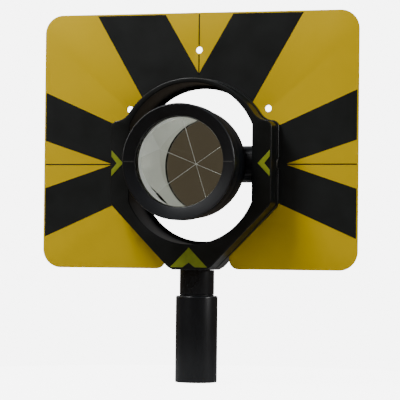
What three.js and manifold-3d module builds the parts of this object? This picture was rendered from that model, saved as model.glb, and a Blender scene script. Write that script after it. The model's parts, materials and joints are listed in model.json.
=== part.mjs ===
// Single survey prism with a sighting target, on a swivelling pole adapter.
// Millimetres, +Z up. The prism looks along -Y. The origin is the centre of the adapter's
// lower end, on the pole's axis. The tilt axis runs along X and crosses the pole's axis.
import * as THREE from "three";
import { mergeVertices } from "three/addons/utils/BufferGeometryUtils.js";
import Module from "manifold-3d";

const wasm = await Module();
wasm.setup();

// ---------------------------------------------------------------- driving dimensions
const tiltAxisHeight = 160;
const fitGap = 0.3; // radial gap between round parts that fit in one another
const faceGap = 0.1; // gap between flat faces that rest on each other

const plateHalfWidth = 120.5;
const plateTop = 112; // heights on the plate and the frame are from the tilt axis
const plateBottom = -77;
const plateThickness = 1.6;
const plateCornerRadius = 14;
const notchHalfWidth = 24.5;
const notchTop = -66;
const notchCornerRadius = 7;
const plateHoleRadius = 2.5;
const plateHoles = [[0, 84.3], [-53, 40.8], [53, 40.8]];

const frameFront = -21.6; // along Y
const frameRear = 16;
const rearLipDepth = 2.2;
const rearLipInset = 2.4;
const rearOutlineInset = 1.2;
const frameHalfWidth = 62;
const frameArcRadius = 57.3;
const frameArcHeight = 6;
const earTop = 32;
const earCornerRadius = 5;
const earBottom = -26.5; // where the ear's side turns into the 45 degree side
const earTurn = [2.5, -30, -32.5]; // that turn: across, its corner's height, its end's height
const frameFoot = [[13, -77.5], [17.2, -75.3]]; // the chamfered corners over the neck
const shoulderRadius = 12;
const openingHalfWidth = 46.5;
const openingArcRadius = 50.2;
const openingArcHeight = 8.8;
const rimThickness = 1.8; // the rim round the opening that centres the plate

const chevronThickness = 0.4;
const sideChevron = { tip: 51, base: 60, notch: 56, halfSpan: 9.5, notchHalfSpan: 4.9 };
const bottomChevron = { tip: 61.5, base: 75.5, notch: 72, halfSpan: 13.7, notchHalfSpan: 4.7 };

const frameScrewPlaces = [[-54.5, 24], [54.5, 24], [-54.5, -24], [54.5, -24], [-26, -58.5], [26, -58.5]];
const frameScrewRadius = 1.5;
const frameScrewHeadRadius = 2.8;
const frameScrewHeadHeight = 1.8;
const frameScrewDepth = 24;

const pivotRadius = 3;
const pivotHeadRadius = 5;
const pivotHeadHeight = 3;
const pivotRecess = 4.2; // depth of the head's recess in the ear's side
const pivotBushRadius = 5;
const pivotBushLength = 8;
const pivotReach = 37; // the pivot's inner end, from the middle
const trunnionRadius = 13.5;
const trunnionFace = 44.6;
const tiltWasherRadius = 11;

const glassRadius = 32.4;
const glassFront = -46.6;
const glassDepth = 60;
const firstGlassEdge = 100; // degrees round the prism's axis, from +X towards +Z
const apertureRadius = 33;
const bezelRadius = 42;
const bezelFront = -51.4;
const bezelDish = 2; // how far the bezel's face falls back towards the aperture
const bezelRear = -38;
const markLength = 7.6;
const bezelLip = 5.8; // from the bezel's front edge to the back of its front wall
const barrelRadius = 40.3;
const barrelWall = 2.6;
const barrelShoulder = -15; // where the barrel starts to taper
const barrelTaper = 33.5; // its radius at the tilt axis
const housingRear = 19;
const housingRearRadius = 28.5;
const housingBore = glassRadius + 0.5;
const sealGroove = { radius: 34.2, front: -43.6, rear: -41.8 };
const housingRearBore = 22.5;
const capRear = 24;
const capScrewCircle = 25.6;

const neckRadius = 13;
const neckTop = 82.3;
const sleeveRadius = 15.4;
const sleeveLength = 63.5;
const sleeveChamfer = 1.2;
const shaftRadius = 8;
const bushOuterRadius = 10.6;
const upperBush = { bottom: 52, top: 63.2 };
const lowerBush = { bottom: 36, top: 44 };
const studRadius = 7.94; // 5/8 inch pole stud
const insertRadius = 11;
const insertLength = 20;

const largeSides = 40;
const mediumSides = 24;
const smallSides = 12;
const screwSides = 8;

// ---------------------------------------------------------------- materials
function finish(color, roughness, metalness) {
  return new THREE.MeshStandardMaterial({ color, roughness, metalness });
}

const blackPlastic = () => finish(0x17191b, 0.5, 0);
const blackAnodised = () => finish(0x101418, 0.4, 0.5);
const yellowPaint = () => finish(0xcdb01c, 0.4, 0);
const markPaint = () => finish(0x98a216, 0.6, 0);
const whitePaint = () => finish(0xb8bab4, 0.6, 0);
const steel = () => finish(0x9a9a98, 0.3, 1);
const brass = () => finish(0xb08a3c, 0.35, 1);
const rubber = () => finish(0x0c0c0c, 0.85, 0);
const acetal = () => finish(0xd8d6cc, 0.5, 0);
const blackAcetal = () => finish(0x141414, 0.5, 0);
const opticalGlass = () => finish(0xc8d4cc, 0.05, 0);

// ---------------------------------------------------------------- geometry helpers
function toSolid(geometry) {
  const bare = geometry.clone();
  bare.deleteAttribute("normal");
  bare.deleteAttribute("uv");
  const merged = mergeVertices(bare, 1e-3);
  const kept = [];
  for (let i = 0; i < merged.index.count; i += 3) {
    const [a, b, c] = [0, 1, 2].map((corner) => merged.index.getX(i + corner));
    if (a !== b && b !== c && c !== a) kept.push(a, b, c);
  }
  const vertProperties = Float32Array.from(merged.attributes.position.array);
  return new wasm.Manifold(new wasm.Mesh({ numProp: 3, vertProperties, triVerts: Uint32Array.from(kept) }));
}

function toGeometry(solid) {
  const mesh = solid.getMesh();
  const geometry = new THREE.BufferGeometry();
  geometry.setAttribute("position", new THREE.BufferAttribute(mesh.vertProperties, 3));
  geometry.setIndex(new THREE.BufferAttribute(mesh.triVerts, 1));
  return geometry;
}

function join(first, ...others) {
  return toGeometry(others.reduce((sum, other) => sum.add(toSolid(other)), toSolid(first)));
}

function cut(first, ...tools) {
  return toGeometry(tools.reduce((rest, tool) => rest.subtract(toSolid(tool)), toSolid(first)));
}

const common = (first, second) => toGeometry(toSolid(first).intersect(toSolid(second)));

// Turns a closed profile of [radius, y] points about the Y axis, with its faces out.
function revolveY(profile, sides) {
  const points = profile.map(([radius, y]) => new THREE.Vector2(radius, y));
  if (THREE.ShapeUtils.area(points) < 0) points.reverse();
  points.push(points[0].clone());
  return new THREE.LatheGeometry(points, sides);
}

// The same about the Z axis, from [radius, z] points.
const revolveZ = (profile, sides) => revolveY(profile, sides).rotateX(Math.PI / 2);

// The same about the X axis, from [radius, x] points.
const revolveX = (profile, sides) => revolveY(profile, sides).rotateZ(-Math.PI / 2);

const ring = (inner, outer, low, high) => [[inner, low], [outer, low], [outer, high], [inner, high]];
const disc = (radius, low, high) => ring(0, radius, low, high);

// Extrudes an outline drawn in X and Z from front to rear along Y.
function extrudeY(shape, front, rear, curveSegments = 7) {
  const options = { depth: rear - front, bevelEnabled: false, curveSegments };
  const geometry = new THREE.ExtrudeGeometry(shape, options);
  return geometry.rotateX(Math.PI / 2).translate(0, rear, 0);
}

const discY = (x, z, radius, front, rear) =>
  revolveY(disc(radius, front, rear), smallSides).translate(x, 0, z);

function box(low, high) {
  const size = high.map((value, i) => value - low[i]);
  const middle = high.map((value, i) => (value + low[i]) / 2);
  return new THREE.BoxGeometry(...size).translate(...middle);
}

// ---------------------------------------------------------------- outlines
// The frame seen from the front: a round top, square ears for the pivots, and 45 degree
// sides down to the neck. The inset moves every edge inwards.
function frameOutline(inset) {
  const right = frameHalfWidth - inset;
  const arcRadius = frameArcRadius - inset;
  const fillet = shoulderRadius + inset;
  const shoulder = earTop - inset;
  const rise = shoulder + fillet - frameArcHeight;
  const filletX = Math.sqrt((arcRadius + fillet) ** 2 - rise ** 2);
  const turn = Math.atan2(rise, filletX);
  const corner = earCornerRadius;
  const [[lowX, lowZ], [highX, highZ]] = frameFoot;
  const foot = [[lowX - 0.2 * inset, lowZ + inset], [highX - 0.6 * inset, highZ + 0.8 * inset]];
  const [turnAcross, turnCorner, turnEnd] = earTurn;
  const turnRise = 0.4 * inset;
  const shape = new THREE.Shape();
  shape.moveTo(-foot[0][0], foot[0][1]);
  shape.lineTo(...foot[0]);
  shape.lineTo(...foot[1]);
  shape.lineTo(right - turnAcross, turnEnd + turnRise);
  shape.quadraticCurveTo(right, turnCorner + turnRise, right, earBottom);
  shape.absarc(right - corner, shoulder - corner, corner, 0, Math.PI / 2, false);
  shape.absarc(filletX, shoulder + fillet, fillet, 1.5 * Math.PI, Math.PI + turn, true);
  shape.absarc(0, frameArcHeight, arcRadius, turn, Math.PI - turn, false);
  shape.absarc(-filletX, shoulder + fillet, fillet, 2 * Math.PI - turn, 1.5 * Math.PI, true);
  shape.absarc(corner - right, shoulder - corner, corner, Math.PI / 2, Math.PI, false);
  shape.lineTo(-right, earBottom);
  shape.quadraticCurveTo(-right, turnCorner + turnRise, turnAcross - right, turnEnd + turnRise);
  shape.lineTo(-foot[1][0], foot[1][1]);
  shape.closePath();
  return shape;
}

// The tall round opening with two upright flats that face the trunnions.
function openingOutline(inset, Kind = THREE.Path) {
  const radius = openingArcRadius - inset;
  const flat = openingHalfWidth - inset;
  const turn = Math.acos(flat / radius);
  const path = new Kind();
  path.absarc(0, openingArcHeight, radius, turn, Math.PI - turn, false);
  path.absarc(0, -openingArcHeight, radius, Math.PI + turn, 2 * Math.PI - turn, false);
  path.closePath();
  return path;
}

// The target plate: a rounded rectangle with a notch over the neck.
function plateOutline() {
  const quarter = Math.PI / 2;
  const round = plateCornerRadius;
  const side = plateHalfWidth - round;
  const shape = new THREE.Shape();
  shape.absarc(side, plateBottom + round, round, -quarter, 0, false);
  shape.absarc(side, plateTop - round, round, 0, quarter, false);
  shape.absarc(-side, plateTop - round, round, quarter, 2 * quarter, false);
  shape.absarc(-side, plateBottom + round, round, 2 * quarter, 3 * quarter, false);
  const small = notchCornerRadius;
  shape.absarc(-notchHalfWidth - small, plateBottom + small, small, -quarter, 0, false);
  shape.lineTo(-notchHalfWidth, notchTop);
  shape.lineTo(notchHalfWidth, notchTop);
  shape.absarc(notchHalfWidth + small, plateBottom + small, small, 2 * quarter, 3 * quarter, false);
  shape.closePath();
  return shape;
}

// An arrowhead whose tip points towards the origin of the distances in size.
function chevronOutline(size) {
  const points = [
    [size.halfSpan, size.base], [0, size.tip], [-size.halfSpan, size.base],
    [-size.notchHalfSpan, size.base], [0, size.notch], [size.notchHalfSpan, size.base],
  ];
  return new THREE.Shape(points.map(([across, along]) => new THREE.Vector2(across, -along)));
}

function withHoles(shape, ...paths) {
  shape.holes.push(...paths);
  return shape;
}

// ---------------------------------------------------------------- assembly helpers
const group = new THREE.Group();
const holder = new THREE.Group();
const canister = new THREE.Group();
holder.position.z = tiltAxisHeight;
canister.position.z = tiltAxisHeight;
group.add(holder, canister);

function place(parent, name, geometry, material, position = [0, 0, 0]) {
  const mesh = new THREE.Mesh(geometry, material);
  mesh.name = name;
  mesh.position.set(...position);
  parent.add(mesh);
}

const sides = [["left", -1], ["right", 1]];

// ---------------------------------------------------------------- pole adapter
function addPoleAdapter() {
  const bore = bushOuterRadius + fitGap;
  const insertBore = insertRadius + fitGap;
  const web = insertLength + 1;
  const sleeve = [
    [insertBore, 0], [sleeveRadius - 0.8, 0], [sleeveRadius, 0.8],
    [sleeveRadius, sleeveLength - sleeveChamfer], [sleeveRadius - sleeveChamfer, sleeveLength],
    [bore, sleeveLength], [bore, lowerBush.bottom - 0.1], [bore - 0.8, lowerBush.bottom - 0.1],
    [bore - 0.8, web + 2], [studRadius, web + 2], [studRadius, web], [insertBore, web],
  ];
  place(group, "pole_sleeve", revolveZ(sleeve, largeSides), blackAnodised());

  const insert = [
    [studRadius, 1.2], [studRadius + 1, 0.4], [insertRadius, 0.4], [insertRadius, insertLength],
    [studRadius, insertLength],
  ];
  place(group, "thread_insert", revolveZ(insert, mediumSides), brass());

  for (const [name, bush] of [["upper", upperBush], ["lower", lowerBush]]) {
    const section = ring(shaftRadius + fitGap, bushOuterRadius, bush.bottom, bush.top);
    place(group, `swivel_bush_${name}`, revolveZ(section, mediumSides), acetal());
  }

  const washer = ring(shaftRadius + fitGap, neckRadius - 0.4, sleeveLength + faceGap, sleeveLength + 0.7);
  place(group, "thrust_washer", revolveZ(washer, mediumSides), blackAcetal());
}

// ---------------------------------------------------------------- neck
const tenonTop = notchTop - 0.8; // from the tilt axis
const tenonCollar = { radius: 10.5, bottom: -74, top: -71 };

function tenonProfile(gap) {
  const low = neckTop - tiltAxisHeight;
  return [
    [0, low], [shaftRadius + gap, low], [shaftRadius + gap, tenonCollar.bottom - gap],
    [tenonCollar.radius + gap, tenonCollar.bottom - gap], [tenonCollar.radius + gap, tenonCollar.top + gap],
    [shaftRadius + gap, tenonCollar.top + gap], [shaftRadius + gap, tenonTop + gap], [0, tenonTop + gap],
  ];
}

function addNeck() {
  const neckLow = sleeveLength + 0.8 - tiltAxisHeight;
  const shaftLow = lowerBush.bottom - 0.3 - tiltAxisHeight;
  const neckHigh = neckTop - tiltAxisHeight;
  const outline = [
    [0, shaftLow], [shaftRadius, shaftLow], [shaftRadius, neckLow], [neckRadius - 0.5, neckLow],
    [neckRadius, neckLow + 0.5], [neckRadius, neckHigh], ...tenonProfile(0).slice(1),
  ];
  const screwHole = disc(2 + fitGap, shaftLow - 1, shaftLow + 14);
  const spindle = cut(revolveZ(outline, mediumSides), revolveZ(screwHole, screwSides));
  place(holder, "neck_spindle", spindle, blackAnodised());

  const washerTop = shaftLow - faceGap;
  const washer = ring(2 + fitGap, 9.4, washerTop - 1.2, washerTop);
  place(holder, "spindle_washer", revolveZ(washer, mediumSides), steel());

  const headTop = washerTop - 1.2 - faceGap;
  const screw = [
    [0, headTop - 2.6], [3.2, headTop - 2.6], [4, headTop - 1.8], [4, headTop], [2, headTop],
    [2, shaftLow + 12], [0, shaftLow + 12],
  ];
  place(holder, "spindle_screw", revolveZ(screw, smallSides), steel());
}

// ---------------------------------------------------------------- frame and target
// Everything that passes through both halves of the frame.
function frameCutters() {
  const cutters = [revolveZ(tenonProfile(fitGap), mediumSides)];
  const bushEnd = openingHalfWidth + pivotBushLength;
  const recessFloor = frameHalfWidth - pivotRecess;
  for (const [, side] of sides) {
    const bushSeat = disc(pivotBushRadius + fitGap, openingHalfWidth - 2, bushEnd + fitGap);
    const pivotHole = disc(pivotRadius + fitGap, bushEnd, frameHalfWidth);
    const headRecess = disc(pivotHeadRadius + 0.6, recessFloor, frameHalfWidth + 2);
    for (const profile of [bushSeat, pivotHole, headRecess]) {
      cutters.push(revolveX(profile, smallSides).rotateZ(side > 0 ? 0 : Math.PI));
    }
  }
  return cutters;
}

function addFrame() {
  const plateFace = plateThickness / 2 + faceGap;
  const screwBottom = frameRear - frameScrewDepth;
  const screwHoles = (radius, front, rear) => (
    frameScrewPlaces.map(([x, z]) => discY(x, z, radius, front, rear)));

  const frontBody = extrudeY(withHoles(frameOutline(0), openingOutline(0)), frameFront, -plateFace);
  const rimShape = withHoles(openingOutline(-rimThickness, THREE.Shape), openingOutline(0));
  const rim = extrudeY(rimShape, -plateFace - 1, plateFace - faceGap);
  const frontHoles = screwHoles(frameScrewRadius + fitGap, screwBottom - 1, frameRear);
  const front = cut(join(frontBody, rim), ...frameCutters(), ...frontHoles);
  place(holder, "front_frame", front, blackPlastic());

  const rearOuter = frameOutline(rearOutlineInset);
  const lipFront = frameRear - rearLipDepth;
  const rearBody = extrudeY(withHoles(rearOuter, openingOutline(0)), plateFace, frameRear);
  const lip = extrudeY(
    withHoles(openingOutline(-1, THREE.Shape), openingOutline(rearLipInset)), lipFront, frameRear);
  const rearHoles = screwHoles(frameScrewRadius + fitGap, 0, frameRear);
  const headSeats = screwHoles(frameScrewHeadRadius + 0.5, frameRear - frameScrewHeadHeight, frameRear + 1);
  const rear = cut(join(rearBody, lip), ...frameCutters(), ...rearHoles, ...headSeats);
  place(holder, "rear_frame", rear, blackPlastic());

  const plateShape = withHoles(plateOutline(), openingOutline(-rimThickness - fitGap));
  const plate = cut(
    extrudeY(plateShape, -plateThickness / 2, plateThickness / 2, 6),
    ...plateHoles.map(([x, z]) => discY(x, z, plateHoleRadius, -5, 5)),
    ...screwHoles(frameScrewRadius + fitGap, -5, 5),
    ...sides.map(([, side]) => box([side * 53 - 9.2, -5, -6.4], [side * 53 + 9.2, 5, 6.4])),
  );
  place(holder, "target_plate", plate, yellowPaint());

  const chevronFront = frameFront - chevronThickness - 0.02;
  const chevrons = [["left", sideChevron, -90], ["right", sideChevron, 90], ["bottom", bottomChevron, 0]];
  for (const [name, size, degrees] of chevrons) {
    const chevron = extrudeY(chevronOutline(size), chevronFront, frameFront - 0.02);
    chevron.rotateY(-THREE.MathUtils.degToRad(degrees));
    place(holder, `chevron_${name}`, chevron, markPaint());
  }
}

function addFrameScrews() {
  const headFront = frameRear - frameScrewHeadHeight + faceGap;
  const tip = frameRear - frameScrewDepth;
  const profile = [
    [0, tip], [frameScrewRadius * 0.6, tip], [frameScrewRadius, tip + 1], [frameScrewRadius, headFront],
    [frameScrewHeadRadius, headFront], [frameScrewHeadRadius, headFront + 1],
    [frameScrewHeadRadius * 0.6, frameRear - 0.1], [0, frameRear - 0.1],
  ];
  frameScrewPlaces.forEach(([x, z], i) => {
    place(holder, `frame_screw_${i + 1}`, revolveY(profile, screwSides), steel(), [x, 0, z]);
  });
}

// ---------------------------------------------------------------- tilt pivots
function addPivots() {
  const headStart = frameHalfWidth - pivotRecess + faceGap;
  const screw = [
    [0, pivotReach], [pivotRadius * 0.7, pivotReach], [pivotRadius, pivotReach + 1],
    [pivotRadius, headStart], [pivotHeadRadius, headStart],
    [pivotHeadRadius, headStart + pivotHeadHeight - 1], [pivotHeadRadius - 1, headStart + pivotHeadHeight],
    [0, headStart + pivotHeadHeight],
  ];
  const bushEnd = openingHalfWidth + pivotBushLength;
  const bush = ring(pivotRadius + fitGap, pivotBushRadius, openingHalfWidth, bushEnd);
  const washerFaces = [trunnionFace + faceGap, openingHalfWidth - faceGap];
  const washer = ring(pivotRadius + fitGap, tiltWasherRadius, ...washerFaces);
  for (const [name, side] of sides) {
    const turned = (profile, count) => revolveX(profile, count).rotateZ(side > 0 ? 0 : Math.PI);
    place(holder, `pivot_screw_${name}`, turned(screw, smallSides), steel());
    place(holder, `pivot_bush_${name}`, turned(bush, smallSides), acetal());
    place(canister, `tilt_washer_${name}`, turned(washer, mediumSides), blackAcetal());
  }
}

// ---------------------------------------------------------------- prism canister
function addHousing() {
  const neck = bezelRadius - barrelWall - fitGap;
  const outside = [
    [0, bezelFront + bezelLip + fitGap], [neck, bezelFront + bezelLip + fitGap], [neck, bezelRear + fitGap],
    [barrelRadius, bezelRear + fitGap], [barrelRadius, barrelShoulder], [barrelTaper, 0],
    [housingRearRadius, housingRear - 2], [housingRearRadius, housingRear], [0, housingRear],
  ];
  const inside = [
    [0, bezelFront - 1], [housingBore, bezelFront - 1], [housingBore, sealGroove.front],
    [sealGroove.radius, sealGroove.front], [sealGroove.radius, sealGroove.rear],
    [housingBore, sealGroove.rear], [housingBore, -8], [30.4, 4],
    [housingRearBore + 2, housingRear - 7], [housingRearBore, housingRear - 6],
    [housingRearBore, housingRear + 1], [0, housingRear + 1],
  ];
  const trunnion = disc(trunnionRadius, 20, trunnionFace);
  const pivotBore = disc(pivotRadius + fitGap, pivotReach - 1, trunnionFace + 1);
  const turned = (profile, side, count) => revolveX(profile, count).rotateZ(side > 0 ? 0 : Math.PI);
  const trunnions = sides.map(([, side]) => turned(trunnion, side, mediumSides));
  const shell = join(revolveY(outside, largeSides), ...trunnions);
  const housing = cut(
    shell, revolveY(inside, largeSides),
    ...sides.map(([, side]) => turned(pivotBore, side, smallSides)),
    ...capScrewPlaces().map(([x, z]) => discY(x, z, 1 + fitGap, housingRear - 5, housingRear + 1)),
  );
  place(canister, "canister_housing", housing, blackAnodised());
}

function capScrewPlaces() {
  return [90, 210, 330].map((degrees) => {
    const angle = THREE.MathUtils.degToRad(degrees);
    return [capScrewCircle * Math.cos(angle), capScrewCircle * Math.sin(angle)];
  });
}

// The bezel's face is a shallow cone that falls back towards the aperture. The two index
// marks lie on it, level with the tilt axis.
function addBezel() {
  const skirt = bezelRadius - barrelWall;
  const lipRear = bezelFront + bezelLip;
  const faceOuter = bezelRadius - 0.9;
  const faceInner = apertureRadius + 0.2;
  const dishBottom = bezelFront + bezelDish;
  const bezel = [
    [apertureRadius, dishBottom + 0.2], [faceInner, dishBottom], [faceOuter, bezelFront],
    [bezelRadius, bezelFront + 0.9], [bezelRadius, bezelRear], [skirt, bezelRear], [skirt, lipRear],
    [apertureRadius, lipRear],
  ];
  place(canister, "front_bezel", revolveY(bezel, largeSides), blackAnodised());
  const slope = Math.atan2(bezelDish, faceOuter - faceInner);
  const middle = [(faceInner + faceOuter) / 2, (dishBottom + bezelFront) / 2 - 0.06];
  for (const [name, side] of sides) {
    const mark = box([-markLength / 2, -0.2, -0.25], [markLength / 2, 0, 0.25]);
    mark.rotateZ(-side * slope);
    place(canister, `index_mark_${name}`, mark, whitePaint(), [side * middle[0], middle[1], 0]);
  }
}

// A glass rod whose rear end is ground to three faces at right angles to each other.
function addPrism() {
  const apex = glassFront + glassDepth;
  const reach = 3 * glassRadius;
  const towardsFront = new THREE.Vector3(0, -1, 0);
  const corner = box([0, 0, 0], [reach, reach, reach]);
  const diagonal = new THREE.Vector3(1, 1, 1).normalize();
  const stand = new THREE.Quaternion().setFromUnitVectors(diagonal, towardsFront);
  const edge = new THREE.Vector3(1, 0, 0).applyQuaternion(stand);
  const edgeAngle = Math.atan2(edge.z, edge.x);
  const turn = THREE.MathUtils.degToRad(firstGlassEdge) - edgeAngle;
  corner.applyQuaternion(stand).rotateY(-turn).translate(0, apex, 0);
  const rod = [
    [0, glassFront], [glassRadius - 0.5, glassFront], [glassRadius, glassFront + 0.5],
    [glassRadius, apex + 1], [0, apex + 1],
  ];
  place(canister, "prism_glass", common(revolveY(rod, largeSides), corner), opticalGlass());

  const slope = Math.SQRT2; // the ground edges spread this much per unit of depth
  const edgeRadius = (y) => slope * (apex - y);
  const [seatFront, seatRear] = [apex - 18, apex - 11];
  const cushion = [seatFront, seatRear].map((y) => [edgeRadius(y) + 0.5, y]);
  const cushionBack = [seatRear, seatFront].map((y) => [edgeRadius(y) + 3, y]);
  place(canister, "prism_cushion", revolveY([...cushion, ...cushionBack], mediumSides), rubber());

  const seatInner = [seatFront, seatRear].map((y) => [edgeRadius(y) + 3.4, y]);
  const seat = [...seatInner, [29.2, seatRear], [30.8, seatFront]];
  place(canister, "prism_seat", revolveY(seat, mediumSides), blackAnodised());
}

// An O-ring round the glass, in the housing's groove.
function addSeal() {
  const wire = 0.6;
  const middle = [glassRadius + fitGap + wire, (sealGroove.front + sealGroove.rear) / 2];
  const section = [0, 1, 2, 3, 4, 5].map((i) => {
    const angle = i * Math.PI / 3;
    return [middle[0] + wire * Math.cos(angle), middle[1] + wire * Math.sin(angle)];
  });
  place(canister, "front_seal", revolveY(section, largeSides), rubber());
}

function addRearCap() {
  const plug = housingRearBore - fitGap;
  const capFront = housingRear + faceGap;
  const cap = [
    [0, housingRear - 5], [plug, housingRear - 5], [plug, capFront], [housingRearRadius, capFront],
    [housingRearRadius, capRear - 1.5], [housingRearRadius - 1.5, capRear], [18, capRear],
    [17, capRear - 1.6], [0, capRear - 1.6],
  ];
  const headSeat = capRear - 1.6;
  const holes = capScrewPlaces().flatMap(([x, z]) => [
    discY(x, z, 1 + fitGap, housingRear - 6, capRear),
    discY(x, z, 2 + fitGap, headSeat, capRear + 1),
  ]);
  place(canister, "rear_cap", cut(revolveY(cap, largeSides), ...holes), blackAnodised());

  const screw = [
    [0, housingRear - 4], [1, housingRear - 4], [1, headSeat + faceGap], [2, headSeat + faceGap],
    [2, capRear - 0.7], [1.4, capRear - 0.2], [0, capRear - 0.2],
  ];
  capScrewPlaces().forEach(([x, z], i) => {
    place(canister, `cap_screw_${i + 1}`, revolveY(screw, screwSides), steel(), [x, 0, z]);
  });
}

addPoleAdapter();
addNeck();
addFrame();
addFrameScrews();
addPivots();
addHousing();
addBezel();
addPrism();
addSeal();
addRearCap();

export default group;
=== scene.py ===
import json
import math

import bmesh
import bpy
from mathutils import Matrix, Vector


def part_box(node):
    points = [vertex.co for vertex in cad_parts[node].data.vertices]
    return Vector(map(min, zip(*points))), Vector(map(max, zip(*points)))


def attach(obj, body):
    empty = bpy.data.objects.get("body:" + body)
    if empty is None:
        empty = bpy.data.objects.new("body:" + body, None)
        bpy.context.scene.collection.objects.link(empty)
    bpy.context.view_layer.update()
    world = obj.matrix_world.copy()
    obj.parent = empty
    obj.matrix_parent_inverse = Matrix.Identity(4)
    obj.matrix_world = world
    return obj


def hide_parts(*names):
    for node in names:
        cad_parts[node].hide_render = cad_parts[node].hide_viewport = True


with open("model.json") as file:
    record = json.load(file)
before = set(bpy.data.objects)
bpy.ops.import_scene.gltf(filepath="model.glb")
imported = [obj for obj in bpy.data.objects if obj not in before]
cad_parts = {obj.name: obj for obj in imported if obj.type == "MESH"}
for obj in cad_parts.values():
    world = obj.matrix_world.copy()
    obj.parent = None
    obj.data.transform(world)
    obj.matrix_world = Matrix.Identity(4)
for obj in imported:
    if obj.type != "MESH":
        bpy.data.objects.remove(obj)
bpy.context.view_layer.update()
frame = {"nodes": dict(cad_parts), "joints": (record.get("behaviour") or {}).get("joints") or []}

# The pieces' sizes are in millimetres and are turned into metres as meshes are made. The
# camera, the lights and the materials are in metres. Heights on the target and the frame
# are from the tilt axis, and Y runs from the front to the back.
MM = 0.001
SIDES = (("left", -1), ("right", 1))


def node_box(node):
    low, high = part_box(node)
    return low / MM, high / MM


def screw_centre(node):
    low, high = node_box(node)
    return (low.x + high.x) / 2, 0, (low.z + high.z) / 2


TILT_JOINT = next(joint for joint in frame["joints"] if joint["name"] == "prism_tilt")
TILT_AXIS = TILT_JOINT["pos_m"][2] / MM
MIDDLE = (0, 0, TILT_AXIS)
PLATE_LOW, PLATE_HIGH = node_box("target_plate")
FRONT_LOW, FRONT_HIGH = node_box("front_frame")
REAR_LOW, REAR_HIGH = node_box("rear_frame")
BEZEL_LOW, BEZEL_HIGH = node_box("front_bezel")
HOUSING_LOW, HOUSING_HIGH = node_box("canister_housing")
GLASS_LOW, GLASS_HIGH = node_box("prism_glass")
CAP_LOW, CAP_HIGH = node_box("rear_cap")
SLEEVE_HIGH = node_box("pole_sleeve")[1]
INSERT_LOW, INSERT_HIGH = node_box("thread_insert")
SPINDLE_LOW, SPINDLE_HIGH = node_box("neck_spindle")

# ------------------------------------------------------------------ camera and studio
VIEW_AZIMUTH = 16.45
VIEW_ELEVATION = -1.37
VIEW_ROLL = 0.6
VIEW_DISTANCE = 1.6
VIEW_LENS = 195.7
AIM_RIGHT = 0.0016
AIM_BELOW_AXIS = 0.0262
BACKDROP_STRENGTH = 6.5
FLOOR_RADIUS = 0.25
FLOOR_DROP = 0.0005  # keeps the floor clear of the sleeve's end
# The room's light from straight below (0) to straight above (1).
ROOM_LIGHT = (
    (0.30, (0.10, 0.08, 0.06)),
    (0.50, (0.10, 0.08, 0.055)),
    (0.68, (0.12, 0.11, 0.105)),
    (0.88, (0.50, 0.52, 0.55)),
)


def add_camera():
    azimuth = math.radians(VIEW_AZIMUTH)
    elevation = math.radians(VIEW_ELEVATION)
    back = Vector((
        math.sin(azimuth) * math.cos(elevation),
        -math.cos(azimuth) * math.cos(elevation),
        math.sin(elevation),
    ))
    right = (-back).cross(Vector((0, 0, 1))).normalized()
    aim = right * AIM_RIGHT + Vector((0, 0, TILT_AXIS * MM - AIM_BELOW_AXIS))
    roll = Matrix.Rotation(math.radians(VIEW_ROLL), 3, back)
    right = roll @ right
    up = back.cross(right)
    data = bpy.data.cameras.new("camera")
    data.lens = VIEW_LENS
    data.sensor_width = 36
    data.clip_end = 50
    camera = bpy.data.objects.new("camera", data)
    camera.matrix_world = Matrix((
        (right.x, up.x, back.x, 0),
        (right.y, up.y, back.y, 0),
        (right.z, up.z, back.z, 0),
        (0, 0, 0, 1),
    ))
    camera.location = aim + back * VIEW_DISTANCE
    bpy.context.scene.collection.objects.link(camera)
    bpy.context.scene.camera = camera


def add_light(name, place, size, power, colour=(1, 1, 1)):
    data = bpy.data.lights.new(name, "AREA")
    data.shape = "RECTANGLE"
    data.size, data.size_y = size
    data.energy = power
    data.color = colour
    light = bpy.data.objects.new(name, data)
    light.location = place
    aim = Vector((0, 0, TILT_AXIS * MM)) - Vector(place)
    light.rotation_mode = "QUATERNION"
    light.rotation_quaternion = aim.to_track_quat("-Z", "Y")
    bpy.context.scene.collection.objects.link(light)


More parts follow.
